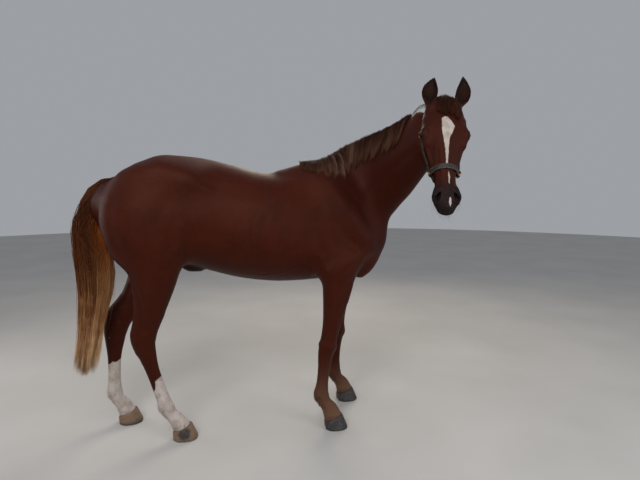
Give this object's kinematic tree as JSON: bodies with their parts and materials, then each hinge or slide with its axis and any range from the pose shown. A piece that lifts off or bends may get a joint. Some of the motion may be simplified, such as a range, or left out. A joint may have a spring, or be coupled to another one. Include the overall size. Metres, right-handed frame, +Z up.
{
  "type": "horse",
  "caption": "Young chestnut Arabian horse standing with its head turned aside, white hind stockings, a blaze, a raised full tail and a plain headcollar.",
  "frame": {"origin": "on the floor, under the middle of the whole horse's box", "axes": "+X towards the chest, +Y towards the horse's left side, +Z up"},
  "size_m": [2.0052, 0.987, 1.8991],
  "materials": {
    "coat": "short glossy chestnut coat",
    "leg_coat": "short chestnut coat, paler down the legs",
    "stocking": "short white coat, a little soiled",
    "ear_coat": "short dark coat",
    "tail_hair": "long hair, auburn going to blonde at the tips",
    "dark_skin": "bare dark skin",
    "eye": "wet and glossy",
    "hoof_dark": "horn, satin, faintly ringed",
    "hoof_light": "pale horn, satin, faintly ringed",
    "leather": "dark oiled leather",
    "brass": "dull brass"
  },
  "bodies": {
    "root": {"torso": "coat", "sheath": "dark_skin", "hind_right_upper": "coat", "hind_right_lower": "stocking", "hind_right_hoof": "hoof_light", "hind_left_upper": "coat", "hind_left_lower": "stocking", "hind_left_hoof": "hoof_light", "fore_right_upper": "coat", "fore_right_lower": "leg_coat", "fore_right_hoof": "hoof_dark", "fore_left_upper": "coat", "fore_left_lower": "leg_coat", "fore_left_hoof": "hoof_dark", "neck": "coat", "head": "coat", "eye_right": "eye", "eye_left": "eye", "ear_right": "ear_coat", "ear_left": "ear_coat", "tail": "tail_hair", "halter_noseband": "leather", "halter_cheek_right": "leather", "halter_ring_right": "brass", "halter_cheek_left": "leather", "halter_ring_left": "brass", "halter_crown": "leather"}
  },
  "joints": []
}
